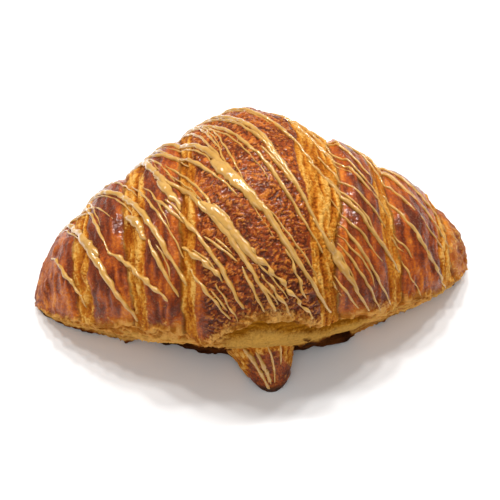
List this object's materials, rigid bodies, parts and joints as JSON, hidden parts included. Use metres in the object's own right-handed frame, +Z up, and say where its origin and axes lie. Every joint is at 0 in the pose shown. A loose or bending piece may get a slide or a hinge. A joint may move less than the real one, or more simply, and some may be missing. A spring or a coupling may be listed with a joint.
{
  "type": "croissant",
  "caption": "large straight butter croissant with a glazed, layered crust, the dough's tip showing at the front, and coffee icing drizzled across it",
  "frame": {"origin": "middle of the underside: the centre of the bounding box in X and Y, at the height of the table", "axes": "+X along the roll toward its right-hand end as seen from the front, -Y toward the front where the tip of the dough shows, +Z up"},
  "size_m": [0.165, 0.1019, 0.0677],
  "materials": {
    "crust": "satin",
    "icing": "gloss"
  },
  "bodies": {
    "root": {"croissant": "crust", "icing_strand_01": "icing", "icing_strand_02": "icing", "icing_strand_03": "icing", "icing_strand_04": "icing", "icing_strand_05": "icing", "icing_strand_06": "icing", "icing_strand_07": "icing", "icing_strand_08": "icing", "icing_strand_09": "icing", "icing_strand_10": "icing", "icing_strand_11": "icing", "icing_strand_12": "icing", "icing_strand_13": "icing", "icing_strand_14": "icing", "icing_strand_15": "icing", "icing_strand_16": "icing", "icing_strand_17": "icing", "icing_strand_18": "icing", "icing_strand_19": "icing", "icing_strand_20": "icing"}
  },
  "joints": []
}
